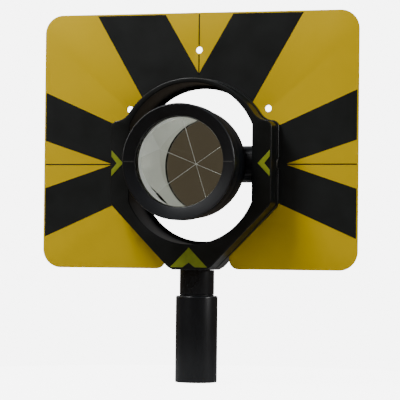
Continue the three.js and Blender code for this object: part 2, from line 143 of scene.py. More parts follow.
def add_studio():
    add_light("key", (-0.42, -0.50, 0.98), (0.35, 0.35), 9)
    add_light("fill_left", (-1.2, -1.5, 0.9), (0.8, 0.8), 2)
    add_light("rim_right", (0.9, -0.12, 0.42), (0.2, 0.25), 3.5)
    add_light("rim_left", (-1.2, 0.6, 0.8), (0.4, 1.0), 4)

    world = bpy.data.worlds.new("studio")
    world.use_nodes = True
    nodes, links = world.node_tree.nodes, world.node_tree.links
    room = nodes["Background"]
    room.inputs["Strength"].default_value = 1.0
    coordinate = nodes.new("ShaderNodeTexCoord")
    split = nodes.new("ShaderNodeSeparateXYZ")
    links.new(coordinate.outputs["Generated"], split.inputs["Vector"])
    lift = nodes.new("ShaderNodeMapRange")
    lift.inputs["From Min"].default_value = -1
    links.new(split.outputs["Z"], lift.inputs["Value"])
    ramp = nodes.new("ShaderNodeValToRGB")
    elements = ramp.color_ramp.elements
    for position, _ in ROOM_LIGHT[1:-1]:
        elements.new(position)
    for element, (position, colour) in zip(elements, ROOM_LIGHT):
        element.position = position
        element.color = (*colour, 1)
    links.new(lift.outputs["Result"], ramp.inputs["Fac"])
    links.new(ramp.outputs["Color"], room.inputs["Color"])
    backdrop = nodes.new("ShaderNodeBackground")
    backdrop.inputs["Color"].default_value = (1, 1, 1, 1)
    backdrop.inputs["Strength"].default_value = BACKDROP_STRENGTH
    paths = nodes.new("ShaderNodeLightPath")
    mix = nodes.new("ShaderNodeMixShader")
    links.new(paths.outputs["Is Camera Ray"], mix.inputs["Fac"])
    links.new(room.outputs["Background"], mix.inputs[1])
    links.new(backdrop.outputs["Background"], mix.inputs[2])
    links.new(mix.outputs["Shader"], nodes["World Output"].inputs["Surface"])
    bpy.context.scene.world = world

    bpy.ops.mesh.primitive_circle_add(
        vertices=96, radius=FLOOR_RADIUS, fill_type="NGON", location=(0, 0, -FLOOR_DROP))
    floor = bpy.context.object
    floor.name = "floor"
    floor.data.materials.append(floor_material())


# ------------------------------------------------------------------ materials
def new_material(name, colour, roughness, metallic=0.0, ior=1.5):
    material = bpy.data.materials.new(name)
    material.use_nodes = True
    shader = material.node_tree.nodes["Principled BSDF"]
    shader.inputs["Base Color"].default_value = (*colour, 1)
    shader.inputs["Roughness"].default_value = roughness
    shader.inputs["Metallic"].default_value = metallic
    shader.inputs["IOR"].default_value = ior
    return material, shader


def object_coordinates(material, scale=(1, 1, 1)):
    nodes, links = material.node_tree.nodes, material.node_tree.links
    coordinate = nodes.new("ShaderNodeTexCoord")
    mapping = nodes.new("ShaderNodeMapping")
    mapping.inputs["Scale"].default_value = scale
    links.new(coordinate.outputs["Object"], mapping.inputs["Vector"])
    return mapping.outputs["Vector"]


def noise(material, scale, detail=2.0, stretch=(1, 1, 1)):
    nodes, links = material.node_tree.nodes, material.node_tree.links
    texture = nodes.new("ShaderNodeTexNoise")
    texture.inputs["Scale"].default_value = scale
    texture.inputs["Detail"].default_value = detail
    links.new(object_coordinates(material, stretch), texture.inputs["Vector"])
    return texture.outputs["Fac"]


def vary_roughness(material, shader, low, high, scale, stretch=(1, 1, 1)):
    nodes, links = material.node_tree.nodes, material.node_tree.links
    reach = nodes.new("ShaderNodeMapRange")
    reach.inputs["From Min"].default_value = 0.3
    reach.inputs["From Max"].default_value = 0.7
    reach.inputs["To Min"].default_value = low
    reach.inputs["To Max"].default_value = high
    links.new(noise(material, scale, 4, stretch), reach.inputs["Value"])
    links.new(reach.outputs["Result"], shader.inputs["Roughness"])


def vary_colour(material, shader, dark, light, scale, detail=3.0, stretch=(1, 1, 1)):
    nodes, links = material.node_tree.nodes, material.node_tree.links
    ramp = nodes.new("ShaderNodeValToRGB")
    ramp.color_ramp.elements[0].position = 0.3
    ramp.color_ramp.elements[0].color = (*dark, 1)
    ramp.color_ramp.elements[1].position = 0.7
    ramp.color_ramp.elements[1].color = (*light, 1)
    links.new(noise(material, scale, detail, stretch), ramp.inputs["Fac"])
    links.new(ramp.outputs["Color"], shader.inputs["Base Color"])


def add_bump(material, shader, height, strength, distance):
    nodes, links = material.node_tree.nodes, material.node_tree.links
    bump = nodes.new("ShaderNodeBump")
    bump.inputs["Strength"].default_value = strength
    bump.inputs["Distance"].default_value = distance
    links.new(height, bump.inputs["Height"])
    links.new(bump.outputs["Normal"], shader.inputs["Normal"])


def floor_material():
    """A pale floor that looks as bright as the backdrop, so that no horizon shows."""
    material, shader = new_material("pale_floor", (0.42, 0.42, 0.42), 0.7)
    vary_colour(material, shader, (0.41, 0.41, 0.41), (0.43, 0.43, 0.43), 3)
    nodes, links = material.node_tree.nodes, material.node_tree.links
    shader.inputs["Emission Color"].default_value = (1, 1, 1, 1)
    paths = nodes.new("ShaderNodeLightPath")
    glow = nodes.new("ShaderNodeMath")
    glow.operation = "MULTIPLY"
    glow.inputs[1].default_value = BACKDROP_STRENGTH
    links.new(paths.outputs["Is Camera Ray"], glow.inputs[0])
    links.new(glow.outputs["Value"], shader.inputs["Emission Strength"])
    return material


def enamel_material():
    material, shader = new_material("yellow_enamel", (0.77, 0.52, 0.0), 0.32, ior=1.4)
    vary_colour(material, shader, (0.745, 0.50, 0.0), (0.795, 0.54, 0.001), 14)
    vary_roughness(material, shader, 0.28, 0.36, 40)
    add_bump(material, shader, noise(material, 900), 0.08, 0.0002)
    return material


def ink_material():
    material, shader = new_material("black_ink", (0.004, 0.005, 0.005), 0.36, ior=1.45)
    vary_colour(material, shader, (0.009, 0.0105, 0.0105), (0.012, 0.014, 0.014), 60)
    vary_roughness(material, shader, 0.31, 0.41, 30)
    add_bump(material, shader, noise(material, 1500), 0.06, 0.0001)
    return material


def moulding_material():
    material, shader = new_material("black_moulding", (0.004, 0.005, 0.005), 0.34, ior=1.45)
    vary_colour(material, shader, (0.003, 0.004, 0.004), (0.006, 0.007, 0.007), 50)
    vary_roughness(material, shader, 0.28, 0.40, 25)
    add_bump(material, shader, noise(material, 1800, 3), 0.14, 0.0001)
    return material


def anodised_material(name, axis):
    """Turned and anodised aluminium: very fine rings round the axis."""
    material, shader = new_material(name, (0.004, 0.005, 0.007), 0.30)
    vary_colour(material, shader, (0.003, 0.004, 0.006), (0.006, 0.007, 0.009), 40)
    vary_roughness(material, shader, 0.26, 0.38, 18)
    stretch = [1.0, 1.0, 1.0]
    stretch["XYZ".index(axis)] = 120.0
    add_bump(material, shader, noise(material, 20, 3, stretch), 0.10, 0.00008)
    return material


def paint_material(name, dark, light, roughness):
    material, shader = new_material(name, light, roughness)
    vary_colour(material, shader, dark, light, 260)
    vary_roughness(material, shader, roughness - 0.06, roughness + 0.06, 120)
    add_bump(material, shader, noise(material, 2500), 0.10, 0.00008)
    return material


def steel_material():
    material, shader = new_material("screw_steel", (0.45, 0.44, 0.43), 0.3, metallic=1.0)
    vary_colour(material, shader, (0.38, 0.37, 0.36), (0.52, 0.51, 0.50), 300)
    vary_roughness(material, shader, 0.22, 0.40, 200)
    add_bump(material, shader, noise(material, 1500), 0.08, 0.00008)
    return material


def brass_material():
    material, shader = new_material("turned_brass", (0.60, 0.40, 0.14), 0.28, metallic=1.0)
    vary_colour(material, shader, (0.52, 0.34, 0.11), (0.66, 0.45, 0.17), 120)
    vary_roughness(material, shader, 0.20, 0.36, 90)
    add_bump(material, shader, noise(material, 20, 3, (1, 1, 150)), 0.10, 0.00008)
    return material


def rubber_material():
    material, shader = new_material("black_rubber", (0.012, 0.012, 0.012), 0.75)
    vary_colour(material, shader, (0.009, 0.009, 0.009), (0.017, 0.017, 0.017), 300)
    add_bump(material, shader, noise(material, 2500), 0.2, 0.0001)
    return material


def dull_black_material():
    """Anodised aluminium that was bead-blasted first."""
    material, shader = new_material("dull_black", (0.004, 0.004, 0.005), 0.6, ior=1.35)
    vary_colour(material, shader, (0.003, 0.003, 0.004), (0.005, 0.005, 0.007), 60)
    add_bump(material, shader, noise(material, 1800), 0.12, 0.0001)
    return material


def black_acetal_material():
    return paint_material("black_acetal", (0.010, 0.010, 0.010), (0.014, 0.014, 0.014), 0.45)


def acetal_material():
    material, shader = new_material("white_acetal", (0.62, 0.61, 0.57), 0.42)
    vary_colour(material, shader, (0.58, 0.57, 0.53), (0.66, 0.65, 0.61), 150)
    vary_roughness(material, shader, 0.36, 0.48, 120)
    return material


def glass_material():
    material, shader = new_material("prism_glass", (0.97, 0.99, 0.98), 0.0, ior=1.517)
    shader.inputs["Transmission Weight"].default_value = 1.0
    vary_roughness(material, shader, 0.0, 0.012, 60)
    return material


def silver_material():
    """The reflecting coat on the ground faces."""
    material, shader = new_material("silver_coat", (0.90, 0.90, 0.87), 0.02, metallic=1.0)
    vary_colour(material, shader, (0.88, 0.88, 0.85), (0.92, 0.92, 0.89), 40)
    return material


def frosted_glowing_material():
    """The fine-ground side of the glass and its bevelled edges, with a painted glow: a weak emission that
    stands in for light reaching them inside the glass.
    """
    material, shader = new_material("frosted_glass_painted_glow", (0.91, 0.93, 0.89), 0.6)
    # Painted glow: this emission is not a lamp, it stands in for light scattered inside the glass.
    shader.inputs["Emission Color"].default_value = (0.92, 0.95, 0.88, 1)
    shader.inputs["Emission Strength"].default_value = 0.22
    vary_colour(material, shader, (0.88, 0.90, 0.86), (0.94, 0.96, 0.92), 90)
    add_bump(material, shader, noise(material, 2000), 0.15, 0.0001)
    return material


def edge_black_material():
    """Black paint on the glass's side, which has no gloss seen from inside the glass."""
    material, shader = new_material("edge_black", (0.005, 0.005, 0.005), 0.9, ior=1.0)
    vary_colour(material, shader, (0.004, 0.004, 0.004), (0.007, 0.007, 0.007), 90)
    return material


# ------------------------------------------------------------------ mesh helpers
SMOOTH_ANGLE = math.radians(32)


def to_object(name, bm, materials):
    bmesh.ops.remove_doubles(bm, verts=bm.verts, dist=1e-7)
    bmesh.ops.dissolve_degenerate(bm, dist=1e-7, edges=bm.edges)
    bmesh.ops.recalc_face_normals(bm, faces=bm.faces)
    mesh = bpy.data.meshes.new(name)
    bm.to_mesh(mesh)
    bm.free()
    for material in materials:
        mesh.materials.append(material)
    piece = bpy.data.objects.new(name, mesh)
    bpy.context.scene.collection.objects.link(piece)
    shade(piece)
    return piece


def shade(piece):
    piece.data.shade_smooth()
    piece.data.set_sharp_from_angle(angle=SMOOTH_ANGLE)


def arc(x, y, radius, start, stop, steps):
    angles = [start + (stop - start) * i / steps for i in range(steps + 1)]
    return [(x + radius * math.cos(a), y + radius * math.sin(a)) for a in angles]


def rounded(corners, steps=4):
    """A closed outline from (u, v, radius) corners, each turned into an arc of its radius."""
    points = []
    for i, (u, v, radius) in enumerate(corners):
        here = Vector((u, v))
        if not radius:
            points.append(here)
            continue
        before = Vector(corners[i - 1][:2]) - here
        after = Vector(corners[(i + 1) % len(corners)][:2]) - here
        before.normalize()
        after.normalize()
        half = before.angle(after) / 2
        centre = here + (before + after).normalized() * (radius / math.sin(half))
        start = here + before * (radius / math.tan(half)) - centre
        stop = here + after * (radius / math.tan(half)) - centre
        for step in range(steps + 1):
            share = step / steps
            swing = start.lerp(stop, share)
            points.append(centre + swing.normalized() * radius)
    return points


def turned_point(axis, radius, angle, along):
    across, up = radius * math.cos(angle), radius * math.sin(angle)
    return {"X": (along, across, up), "Y": (across, along, up), "Z": (across, up, along)}[axis]


def revolve(bm, profile, axis, centre=(0, 0, 0), steps=96):
    """Turns a closed profile of (radius, along) points about an axis through centre."""
    rings = []
    for i in range(steps):
        angle = 2 * math.pi * i / steps
        points = [Vector(turned_point(axis, r, angle, t)) + Vector(centre) for r, t in profile]
        rings.append([bm.verts.new(point * MM) for point in points])
    count = len(profile)
    for i, ring in enumerate(rings):
        following = rings[(i + 1) % steps]
        for j in range(count):
            k = (j + 1) % count
            on_axis = profile[j][0] < 1e-6 and profile[k][0] < 1e-6
            if not on_axis:
                bm.faces.new((ring[j], ring[k], following[k], following[j]))


def turned(name, corners, axis, centre, materials, steps=96):
    """A turned piece from (radius, along, fillet) corners."""
    bm = bmesh.new()
    revolve(bm, rounded(corners), axis, centre, steps)
    return to_object(name, bm, materials)


def plate_solid(bm, contours, centre=(0, 0, 0)):
    """Closes contours between their first and last level. A contour is an outline function
    of the inset and a list of (inset, y) levels from the front to the back."""
    front_edges, back_edges = [], []
    for outline, levels in contours:
        loops = []
        for inset, y in levels:
            points = [Vector((x, y, z)) + Vector(centre) for x, z in outline(inset)]
            loops.append([bm.verts.new(point * MM) for point in points])
        for loop, following in zip(loops, loops[1:]):
            for i in range(len(loop)):
                k = (i + 1) % len(loop)
                bm.faces.new((loop[i], loop[k], following[k], following[i]))
        for edges, loop in ((front_edges, loops[0]), (back_edges, loops[-1])):
            edges.extend(bm.edges.get((loop[i - 1], loop[i])) for i in range(len(loop)))
    for edges in (front_edges, back_edges):
        bmesh.ops.triangle_fill(bm, edges=edges, use_beauty=True)


def rounded_levels(front, back, front_radius, back_radius, base=0.0, steps=4):
    """(inset, y) levels of a wall from front to back, with an edge rounded to a radius at
    each end, or a sharp one where the radius is 0."""
    levels = []
    for i in range(steps + 1 if front_radius else 1):
        angle = math.pi / 2 * i / steps
        levels.append((
            base + front_radius * (1 - math.sin(angle)),
            front + front_radius * (1 - math.cos(angle)),
        ))
    for i in range(steps + 1 if back_radius else 1):
        angle = math.pi / 2 * i / steps
        levels.append((
            base + back_radius * (1 - math.cos(angle)),
            back - back_radius * (1 - math.sin(angle)),
        ))
    return levels


def plate_piece(name, contours, materials, centre=(0, 0, 0)):
    bm = bmesh.new()
    plate_solid(bm, contours, centre)
    return to_object(name, bm, materials)


def combine(piece, operation, tools):
    """Applies exact booleans with tool pieces, which are then removed."""
    for tool in tools:
        modifier = piece.modifiers.new("cut", "BOOLEAN")
        modifier.operation = operation
        modifier.solver = "EXACT"
        modifier.object = tool
    graph = bpy.context.evaluated_depsgraph_get()
    mesh = bpy.data.meshes.new_from_object(piece.evaluated_get(graph))
    piece.modifiers.clear()
    piece.data = mesh
    for tool in tools:
        bpy.data.objects.remove(tool, do_unlink=True)
    shade(piece)


def rod(radius, low, high, axis, centre, steps=48):
    """A plain cutter."""
    corners = [(0, low, 0), (radius, low, 0), (radius, high, 0), (0, high, 0)]
    return turned("cutter", corners, axis, centre, [], steps)


def finish_piece(piece, body, slot, *nodes):
    """Puts a piece on its body in place of its CAD nodes, which it hides. The slot argument is not used."""
    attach(piece, body)
    if nodes:
        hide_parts(*nodes)


# ------------------------------------------------------------------ outlines
def mirrored(right_half):
    """Completes an outline from its right half, which runs from the bottom to the top."""
    left_half = [(-x, z) for x, z in reversed(right_half)]
    points = right_half + left_half
    return [p for i, p in enumerate(points) if math.dist(p, points[i - 1]) > 1e-6]


FRAME_HALF_WIDTH = FRONT_HIGH.x
FRAME_ARC_RADIUS = 57.3
FRAME_ARC_HEIGHT = 6
EAR_TOP = 32
EAR_CORNER_RADIUS = 5
EAR_BOTTOM = -26.5
SHOULDER_RADIUS = 12
FRAME_BOTTOM = FRONT_LOW.z - TILT_AXIS
REAR_INSET = 1.2
# The chamfered corners over the neck: across, up from the foot, and the way across that
# each moves for a millimetre of inset.
FRAME_FOOT = ((13, 0, 0.2), (17.2, 2.2, 0.6))
# The bend from the ear's side to the 45 degree side: across, the heights of its corner and
# its lower end, and the rise of both for a millimetre of inset.
EAR_BEND = 2.5
EAR_BEND_CORNER = -30
EAR_BEND_END = -32.5
EAR_BEND_RISE = 0.4
EAR_BEND_STEPS = 8
OPENING_HALF_WIDTH = 46.5
OPENING_RADIUS = 50.2
OPENING_RISE = 8.8
RIM_THICKNESS = 1.8


def frame_outline(inset):
    right = FRAME_HALF_WIDTH - inset
    arc_radius = FRAME_ARC_RADIUS - inset
    fillet = SHOULDER_RADIUS + inset
    shoulder = EAR_TOP - inset
    rise = shoulder + fillet - FRAME_ARC_HEIGHT
    fillet_x = math.sqrt((arc_radius + fillet) ** 2 - rise ** 2)
    turn = math.atan2(rise, fillet_x)
    corner = EAR_CORNER_RADIUS
    foot = FRAME_BOTTOM + max(0, inset - REAR_INSET)
    half = [(across - share * inset, foot + up) for across, up, share in FRAME_FOOT]
    start = Vector((right - EAR_BEND, EAR_BEND_END + EAR_BEND_RISE * inset))
    middle = Vector((right, EAR_BEND_CORNER + EAR_BEND_RISE * inset))
    stop = Vector((right, EAR_BOTTOM))
    for step in range(EAR_BEND_STEPS + 1):
        share = step / EAR_BEND_STEPS
        point = start.lerp(middle, share).lerp(middle.lerp(stop, share), share)
        half.append((point.x, point.y))
    half += arc(right - corner, shoulder - corner, corner, 0, math.pi / 2, 8)
    half += arc(fillet_x, shoulder + fillet, fillet, 1.5 * math.pi, math.pi + turn, 10)
    half += arc(0, FRAME_ARC_HEIGHT, arc_radius, turn, math.pi / 2, 32)
    return mirrored(half)


def opening_outline(inset):
    radius = OPENING_RADIUS - inset
    turn = math.acos((OPENING_HALF_WIDTH - inset) / radius)
    half = arc(0, -OPENING_RISE, radius, -math.pi / 2, -turn, 32)
    half += arc(0, OPENING_RISE, radius, turn, math.pi / 2, 32)
    return mirrored(half)


PLATE_TOP = PLATE_HIGH.z - TILT_AXIS
PLATE_BOTTOM = PLATE_LOW.z - TILT_AXIS
PLATE_CORNER_RADIUS = 14
NOTCH_HALF_WIDTH = 24.5
NOTCH_TOP = -66
NOTCH_CORNER_RADIUS = 7


def plate_outline(inset):
    quarter = math.pi / 2
    radius = PLATE_CORNER_RADIUS - inset
    side = PLATE_HIGH.x - PLATE_CORNER_RADIUS
    notch = NOTCH_CORNER_RADIUS - inset
    notch_x = NOTCH_HALF_WIDTH + NOTCH_CORNER_RADIUS
    half = [(0, NOTCH_TOP + inset), (NOTCH_HALF_WIDTH + inset, NOTCH_TOP + inset)]
    half += arc(notch_x, PLATE_BOTTOM + NOTCH_CORNER_RADIUS, notch, 2 * quarter, 3 * quarter, 12)
    half += arc(side, PLATE_BOTTOM + PLATE_CORNER_RADIUS, radius, -quarter, 0, 16)
    half += arc(side, PLATE_TOP - PLATE_CORNER_RADIUS, radius, 0, quarter, 16)
    half += [(0, PLATE_TOP - inset)]
    return mirrored(half)


def round_hole(x, z, radius, steps=32):
    """An outline function for a hole: the inset makes the hole smaller."""
    return lambda inset: arc(x, z, radius - inset, 0, 2 * math.pi, steps)[:-1]


def offset_polygon(points, inset):
    """Moves the edges of an anticlockwise polygon inwards."""
    moved = []
    for i, (x, z) in enumerate(points):
        here = Vector((x, z))
        incoming = (here - Vector(points[i - 1])).normalized()
        outgoing = (Vector(points[(i + 1) % len(points)]) - here).normalized()
        normals = [Vector((-d.y, d.x)) for d in (incoming, outgoing)]
        mitre = (normals[0] + normals[1]).normalized()
        moved.append(tuple(here + mitre * (inset / max(0.3, mitre.dot(normals[0])))))
    return moved


# ------------------------------------------------------------------ target
SIGHT_HOLES = [(0, 84.3), (-53, 40.8), (53, 40.8)]
SIGHT_HOLE_RADIUS = 2.5
PRINT_MARGIN = 1.2
INK_THICKNESS = 0.05
INDEX_LINE_WIDTH = 0.9
SHEET_EDGE = 0.35  # edge radii of the sheet and of its holes
HOLE_EDGE = 0.15
RIM_CLEARANCE = 0.3
FIELD_SLOPE = math.tan(math.radians(30))
TOP_FIELD_TIP = 66.8
TOP_FIELD_INNER = 26
TOP_FIELD_OUTER = 79
SIDE_FIELD_OUTER = 54
SIDE_FIELD_BEND = (66, 30.5)
SIDE_FIELD_INNER = (60, 27.9)
WEDGE_TIP = 66  # the yellow wedges that point at the tilt axis
WEDGE_HALF_WIDTH = 17.7


def add_target():
    front, back = PLATE_LOW.y, PLATE_HIGH.y
    levels = rounded_levels(front, back, SHEET_EDGE, SHEET_EDGE)
    hole_levels = [(-inset, y) for inset, y in rounded_levels(front, back, HOLE_EDGE, HOLE_EDGE)]
    contours = [(plate_outline, levels)]
    contours += [(lambda inset: opening_outline(inset - RIM_THICKNESS - RIM_CLEARANCE), hole_levels)]
    contours += [(round_hole(x, z, SIGHT_HOLE_RADIUS), hole_levels) for x, z in SIGHT_HOLES]
    enamel = enamel_material()
    plate = plate_piece("target_sheet", contours, [enamel], MIDDLE)
    finish_piece(plate, "holder", "target_enamel", "target_plate")

    ink = ink_material()
    levels = [(0, front - INK_THICKNESS), (0, front + 0.01)]
    for name, polygon in print_areas().items():
        area = lambda inset, points=polygon: points
        piece = plate_piece(name, [(area, levels)], [ink], MIDDLE)
        finish_piece(piece, "holder", "target_enamel")


def print_areas():
    """The printed black fields and index lines. Their inner ends lie under the frame."""
    edge_x = PLATE_HIGH.x - PRINT_MARGIN
    edge_z = PLATE_TOP - PRINT_MARGIN
    end_radius = FRAME_ARC_RADIUS - 2
    # Where the outer edge of a top field meets the circle that it ends on.
    heights = (edge_z - i * 0.1 for i in range(1100))
    foot = next(
        z for z in heights
        if math.hypot(TOP_FIELD_OUTER - FIELD_SLOPE * (edge_z - z), z - FRAME_ARC_HEIGHT) < end_radius)
    foot_x = TOP_FIELD_OUTER - FIELD_SLOPE * (edge_z - foot)
    start = math.atan2(foot - FRAME_ARC_HEIGHT, foot_x)
    end = arc(0, FRAME_ARC_HEIGHT, end_radius, start, math.pi / 2, 16)
    top = [(0, TOP_FIELD_TIP), (TOP_FIELD_INNER, edge_z), (TOP_FIELD_OUTER, edge_z)] + end
    upper = [(edge_x, SIDE_FIELD_OUTER), SIDE_FIELD_BEND, SIDE_FIELD_INNER]
    lower = [(x, -z) for x, z in reversed(upper)]
    wedge = [(edge_x, -WEDGE_HALF_WIDTH), (WEDGE_TIP, 0), (edge_x, WEDGE_HALF_WIDTH)]
    side = upper + lower + wedge
    half = INDEX_LINE_WIDTH / 2
    gap = SIGHT_HOLE_RADIUS + 0.9
    hole_z = SIGHT_HOLES[0][1]
    areas = {}
    for name, sign in SIDES:
        flip = lambda points: [(sign * x, z) for x, z in points]
        areas[f"print_top_{name}"] = flip(top)
        areas[f"print_side_{name}"] = flip(side)
        areas[f"print_index_{name}"] = flip(box_outline(WEDGE_TIP, -half, edge_x, half))
    areas["print_index_top"] = box_outline(-half, hole_z + gap, half, edge_z)
    areas["print_index_low"] = box_outline(-half, WEDGE_TIP, half, hole_z - gap)
    return areas


def box_outline(left, low, right, high):
    return [(left, low), (right, low), (right, high), (left, high)]


# ------------------------------------------------------------------ frame
BODY_INSET = 1.0
FLANGE_THICKNESS = 3.3
REAR_LIP_INSET = 2.4
REAR_LIP_DEPTH = 2.2
PIVOT_RECESS_RADIUS = 5.6
PIVOT_RECESS_DEPTH = 4.2
PIVOT_BORE_RADIUS = 3.2
BODY_EDGE = 0.6  # edge radii
FLANGE_EDGE = 0.9
OPENING_EDGE = 0.7
REAR_EDGE = 1.2
REAR_OPENING_EDGE = 0.5
JOINT_EDGE = 0.1
PLATE_GAP = 0.1
LIP_CHAMFER = 0.3
SCREW_SEAT_RADIUS = 3.3
SCREW_SEAT_DEPTH = 1.8
FRAME_SCREWS = [f"frame_screw_{i}" for i in range(1, 7)]
CAP_SCREWS = [f"cap_screw_{i}" for i in range(1, 4)]


def pivot_recesses():
    """Cutters for the round recesses in the ears' sides that hold the pivots' heads."""
    cutters = []
    for _, sign in SIDES:
        span = sorted((sign * (FRAME_HALF_WIDTH - PIVOT_RECESS_DEPTH), sign * (FRAME_HALF_WIDTH + 2)))
        cutters.append(rod(PIVOT_RECESS_RADIUS, *span, "X", MIDDLE))
        bore = sorted((sign * 40, sign * (FRAME_HALF_WIDTH + 1)))
        cutters.append(rod(PIVOT_BORE_RADIUS, *bore, "X", MIDDLE))
    return cutters


def add_frame():
    moulding = moulding_material()
    front, plate_side = FRONT_LOW.y, PLATE_LOW.y - PLATE_GAP
    rim_back = FRONT_HIGH.y
    flange_front = plate_side - FLANGE_THICKNESS
    outer = rounded_levels(front, flange_front, BODY_EDGE, 0, BODY_INSET)
    outer += rounded_levels(flange_front, plate_side, FLANGE_EDGE, JOINT_EDGE)
    inner = [(-inset, y) for inset, y in rounded_levels(front, rim_back, OPENING_EDGE, 0)]
    inner += [(-RIM_THICKNESS, rim_back), (-RIM_THICKNESS, plate_side)]
    contours = [(frame_outline, outer), (opening_outline, inner)]
    piece = plate_piece("front_moulding", contours, [moulding], MIDDLE)
    combine(piece, "DIFFERENCE", pivot_recesses())
    finish_piece(piece, "holder", "black_moulding", "front_frame")

    back, lip_front = REAR_HIGH.y, REAR_HIGH.y - REAR_LIP_DEPTH
    outer = rounded_levels(REAR_LOW.y, back, JOINT_EDGE, REAR_EDGE, REAR_INSET)
    inner = [(0, REAR_LOW.y), (0, lip_front)]
    inner += [(REAR_LIP_INSET - LIP_CHAMFER, lip_front), (REAR_LIP_INSET, lip_front + LIP_CHAMFER)]
    lip_edge = rounded_levels(lip_front, back, 0, REAR_OPENING_EDGE, -REAR_LIP_INSET)[1:]
    inner += [(-inset, y) for inset, y in lip_edge]
    contours = [(frame_outline, outer), (opening_outline, inner)]
    piece = plate_piece("rear_moulding", contours, [moulding], MIDDLE)
    seats = pivot_recesses()
    for node in FRAME_SCREWS:
        centre = screw_centre(node)
        seats.append(rod(SCREW_SEAT_RADIUS, back - SCREW_SEAT_DEPTH, back + 1, "Y", centre, 32))
    combine(piece, "DIFFERENCE", seats)
    finish_piece(piece, "holder", "black_moulding", "rear_frame")


# The pointers' corners: along the edge that they stand on, and out from the tilt axis.
SIDE_CHEVRON = [(9.5, 60), (4.9, 60), (0, 56), (-4.9, 60), (-9.5, 60), (0, 51)]
BOTTOM_CHEVRON = [(13.7, 75.5), (4.7, 75.5), (0, 72), (-4.7, 75.5), (-13.7, 75.5), (0, 61.5)]
CHEVRON_EDGE = 0.15


def add_chevrons():
    paint = paint_material("mark_paint", (0.24, 0.29, 0.005), (0.295, 0.35, 0.008), 0.55)
    outlines = {
        "left": [(-out, along) for along, out in SIDE_CHEVRON],
        "right": [(out, -along) for along, out in SIDE_CHEVRON],
        "bottom": [(along, -out) for along, out in BOTTOM_CHEVRON],
    }
    for name, outline in outlines.items():
        node = f"chevron_{name}"
        low, high = node_box(node)
        area = lambda inset, corners=outline: offset_polygon(corners, inset)
        levels = rounded_levels(low.y, high.y, CHEVRON_EDGE, 0, steps=3)
        piece = plate_piece(f"painted_{node}", [(area, levels)], [paint], MIDDLE)
        finish_piece(piece, "holder", "mark_paint", node)


# ------------------------------------------------------------------ screws
FRAME_SCREW_SHAPE = (1.5, 1.6)  # shank radius and head height
CAP_SCREW_SHAPE = (1.0, 1.3)
CROSS_WIDTH = 0.28
CROSS_DEPTH = 0.8
PIVOT_RADIUS = 3
PIVOT_HEAD_RADIUS = 5
PIVOT_HEAD_HEIGHT = 3
SOCKET_RADIUS = 3.2
SOCKET_DEPTH = 2.2


def cross_recess(arm, face, centre):
    """Two crossed bars that cut a screwdriver's recess."""
    cutters = []
    for across, up in ((CROSS_WIDTH, arm), (arm, CROSS_WIDTH)):
        bm = bmesh.new()
        bmesh.ops.create_cube(bm, size=1)
        size = Vector((2 * across, 2 * CROSS_DEPTH, 2 * up)) * MM
        place = Vector((centre[0], face, centre[2])) * MM
        matrix = Matrix.Translation(place) @ Matrix.Diagonal((*size, 1))
        bmesh.ops.transform(bm, matrix=matrix, verts=bm.verts)
        cutters.append(to_object("cutter", bm, []))
    return cutters


def add_screws():
    steel = steel_material()
    for node in FRAME_SCREWS + CAP_SCREWS:
        low, high = node_box(node)
        centre = screw_centre(node)
        head = (high.x - low.x) / 2
        face = high.y
        small = node in CAP_SCREWS
        shank, head_height = CAP_SCREW_SHAPE if small else FRAME_SCREW_SHAPE
        under = face - head_height
        corners = [
            (0, low.y, 0), (shank * 0.6, low.y, 0), (shank, low.y + 1, 0.3), (shank, under, 0),
            (head, under, 0.1), (head, face - 0.35, 0.3), (head * 0.55, face, 1.0), (0, face, 0),
        ]
        piece = turned(f"pan_{node}", corners, "Y", centre, [steel], 40)
        combine(piece, "DIFFERENCE", cross_recess(head * 0.55, face, centre))
        finish_piece(piece, "canister" if small else "holder", "screw_steel", node)

    for name, sign in SIDES:
        node = f"pivot_screw_{name}"
        low, high = node_box(node)
        inner, outer = (low.x, high.x) if sign > 0 else (high.x, low.x)
        under = outer - sign * PIVOT_HEAD_HEIGHT
        corners = [
            (0, inner, 0), (2.2, inner, 0), (PIVOT_RADIUS, inner + sign, 0.4), (PIVOT_RADIUS, under, 0),
            (PIVOT_HEAD_RADIUS, under, 0.2), (PIVOT_HEAD_RADIUS, outer, 0.8), (0, outer, 0),
        ]
        piece = turned(f"turned_{node}", corners, "X", MIDDLE, [steel], 64)
        socket = sorted((outer - sign * SOCKET_DEPTH, outer + sign))
        combine(piece, "DIFFERENCE", [rod(SOCKET_RADIUS, *socket, "X", MIDDLE, 6)])
        finish_piece(piece, "holder", "screw_steel", node)


# ------------------------------------------------------------------ canister
APERTURE_RADIUS = 33.0
BEZEL_DISH = 2.0
BEZEL_LIP = 5.8
BEZEL_WALL = 2.6
BEZEL_RIM = 0.8
BEZEL_CLEARANCE = 0.3
MARK_DEPTH = 0.1

BARREL_RADIUS = 40.3
BARREL_SHOULDER = -15
TAPER_RADIUS = 33.5  # the barrel's radius at the tilt axis
TAIL_RADIUS = 28.5
TAIL_LENGTH = 2
CAP_BORE_RADIUS = 22.5
CAVITY_BEND = (30.4, 4)  # the hollow behind the glass: radius and place along Y
CAVITY_FRONT = -8
BORE_CLEARANCE = 0.5
GROOVE_CLEARANCE = 0.4
TRUNNION_RADIUS = 13.5
TRUNNION_ROOT = 31.2
TRUNNION_BORE_RADIUS = 3.3
TRUNNION_BORE_END = 36
CAP_SCREW_BORE_RADIUS = 1.3
CAP_SCREW_BORE_DEPTH = 5
CAP_SCREW_SEAT_RADIUS = 2.3
CAP_PLUG_RADIUS = 22.2
CAP_RECESS_RADIUS = 17.0
CAP_RECESS_DEPTH = 1.6

GLASS_EDGE_ANGLE = 100  # of the first edge of the glass's corner, from +X towards +Z
GLASS_EDGE_BEVEL = 0.18
GLASS_FRONT_BEVEL = 0.4
EDGE_BAND = 7  # the black band on the side of the glass, behind its front
SEAL_WIRE_RADIUS = 0.52


